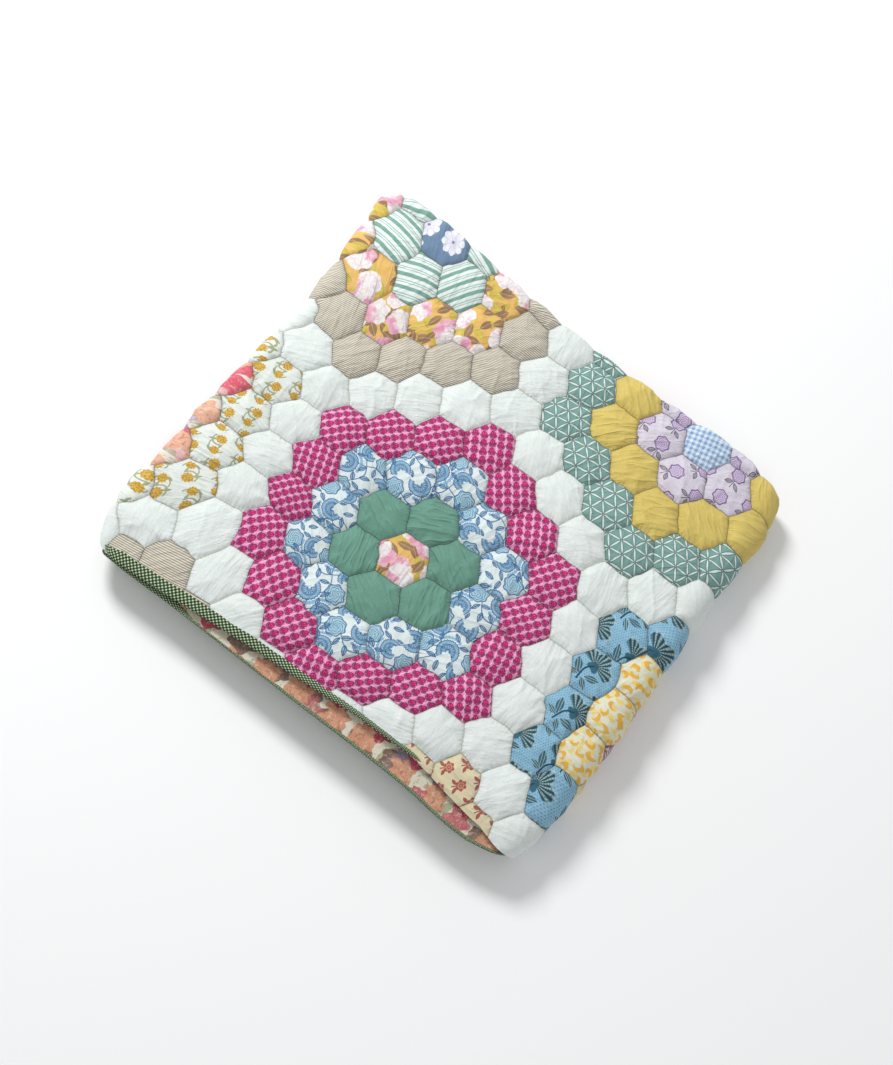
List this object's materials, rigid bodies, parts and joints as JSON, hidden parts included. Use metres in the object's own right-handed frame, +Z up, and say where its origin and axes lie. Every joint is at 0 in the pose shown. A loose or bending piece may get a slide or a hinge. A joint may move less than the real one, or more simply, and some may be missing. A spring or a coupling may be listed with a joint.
{
  "type": "folded patchwork quilt",
  "caption": "Folded patchwork quilt of sewn hexagons with a printed backing and a narrow checked binding, lying flat in layers.",
  "frame": {"origin": "on the floor under the middle of the folded stack's outline", "axes": "+X along the bound front edge, +Y towards the back fold, +Z up through the layers"},
  "size_m": [0.52, 0.5004, 0.052],
  "materials": {
    "patchwork": "matt printed cotton",
    "binding": "matt woven gingham"
  },
  "bodies": {
    "root": {"quilt": "patchwork", "binding": "binding"}
  },
  "joints": []
}
